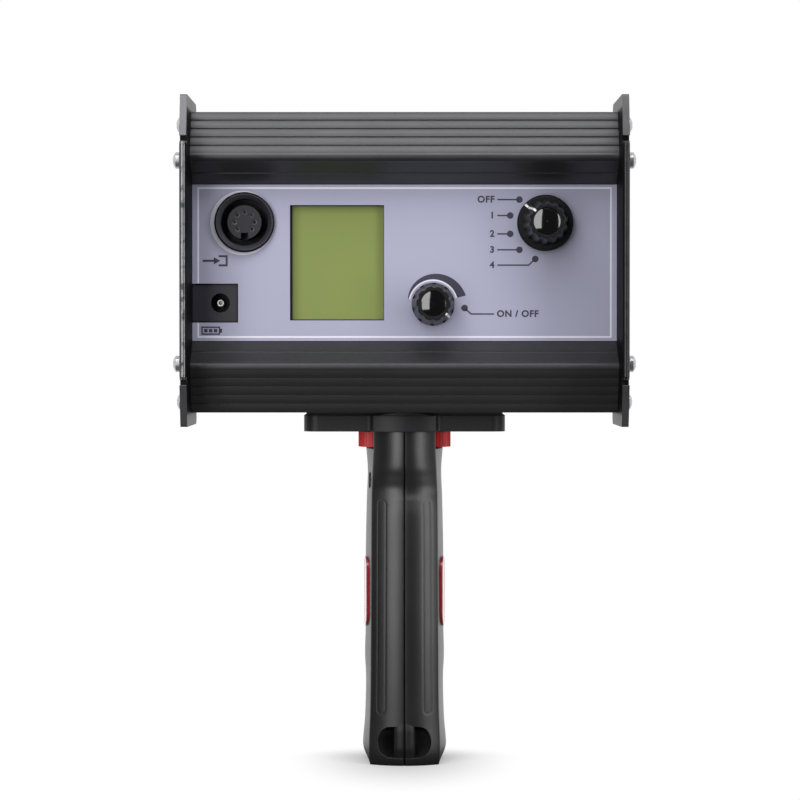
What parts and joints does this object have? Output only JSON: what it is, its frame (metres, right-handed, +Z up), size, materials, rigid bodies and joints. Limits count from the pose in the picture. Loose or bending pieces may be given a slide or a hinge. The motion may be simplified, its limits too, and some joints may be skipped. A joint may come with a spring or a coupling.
{
  "type": "stroboscope",
  "caption": "Hand-held stroboscope: black extruded housing with a recessed control panel and flash window, side plates, clamped on a pistol grip.",
  "frame": {"origin": "on the table under the middle of the object, at the foot of the grip", "axes": "+Z up, -Y towards the control panel's user, +Y the way the flash points, +X to the user's right"},
  "size_m": [0.161, 0.11, 0.2336],
  "materials": {
    "anodised": "matt black anodised, extruded",
    "plate": "satin black coated sheet",
    "steel": "bright nickel plated",
    "panel": "plain sheet",
    "foil": "printed polyester foil, fine matt grain",
    "lcd": "yellow-green display, unlit",
    "pcb": "green solder mask",
    "black_plastic": "moulded, matt",
    "gloss_black": "polished",
    "white_mark": "white inlay",
    "brass": "turned",
    "cell_sleeve": "shrink sleeve",
    "capacitor": "sleeved can",
    "clear": "clear window",
    "reflector": "metallised",
    "led_white": "white board",
    "led_dome": "silicone dome",
    "sink": "extruded",
    "laser_glass": "polished",
    "rubber": "soft pad",
    "red_plastic": "moulded, knurled rim",
    "grip_plastic": "moulded, fine grain",
    "badge": "plain oval inlay"
  },
  "bodies": {
    "housing": {"top_profile": "anodised", "bottom_profile": "anodised", "left_side_plate": "plate", "right_side_plate": "plate", "plate_screws": "steel", "plate_washers": "steel", "control_panel": "panel", "panel_foil": "foil", "lcd_glass": "lcd", "lcd_board": "pcb", "lcd_header": "black_plastic", "input_shell": "gloss_black", "input_insert": "black_plastic", "input_contacts": "brass", "input_nut": "steel", "charge_jack": "black_plastic", "charge_pin": "steel", "mode_switch": "black_plastic", "mode_nut": "steel", "encoder_body": "black_plastic", "encoder_nut": "steel", "control_board": "pcb", "board_chips": "black_plastic", "board_standoffs": "steel", "board_screws": "steel", "driver_board": "pcb", "storage_capacitors": "capacitor", "battery_tray": "black_plastic", "battery_cells": "cell_sleeve", "front_bezel": "anodised", "front_window": "clear", "reflector_array": "reflector", "led_board": "led_white", "led_emitters": "led_dome", "heat_sink": "sink", "stack_screws": "steel", "laser_module": "brass", "laser_lens": "laser_glass", "tripod_bush": "steel", "handle_platform": "black_plastic", "platform_pad": "rubber", "platform_screws": "steel", "grip_left": "grip_plastic", "grip_right": "grip_plastic", "grip_screws": "steel", "grip_badges": "badge"},
    "mode_dial": {"mode_shaft": "steel", "mode_knob": "black_plastic", "mode_cap": "gloss_black", "mode_pointer": "white_mark"},
    "encoder_slider": {"encoder_plunger": "white_mark"},
    "encoder_dial": {"encoder_shaft": "steel", "encoder_knob": "black_plastic", "encoder_cap": "gloss_black", "encoder_pointer": "white_mark"},
    "clamp": {"clamp_wheel": "red_plastic", "clamp_screw": "steel"}
  },
  "joints": [
    {"name": "mode_select", "type": "hinge", "parent": "housing", "child": "mode_dial", "pos_m": [0.0491, -0.03, 0.1906], "axis": [0, -1, 0], "range_deg": [0, 120]},
    {"name": "encoder_push", "type": "slide", "parent": "housing", "child": "encoder_slider", "axis": [0, 1, 0], "range_m": [0, 0.001], "stiffness_N_per_m": 1500, "springref_m": -0.001},
    {"name": "encoder_turn", "type": "hinge", "parent": "encoder_slider", "child": "encoder_dial", "pos_m": [0.01, -0.03, 0.1623], "axis": [0, -1, 0], "continuous": true},
    {"name": "clamp_turn", "type": "hinge", "parent": "housing", "child": "clamp", "pos_m": [0, 0, 0.1146], "axis": [0, 0, 1], "continuous": true}
  ]
}
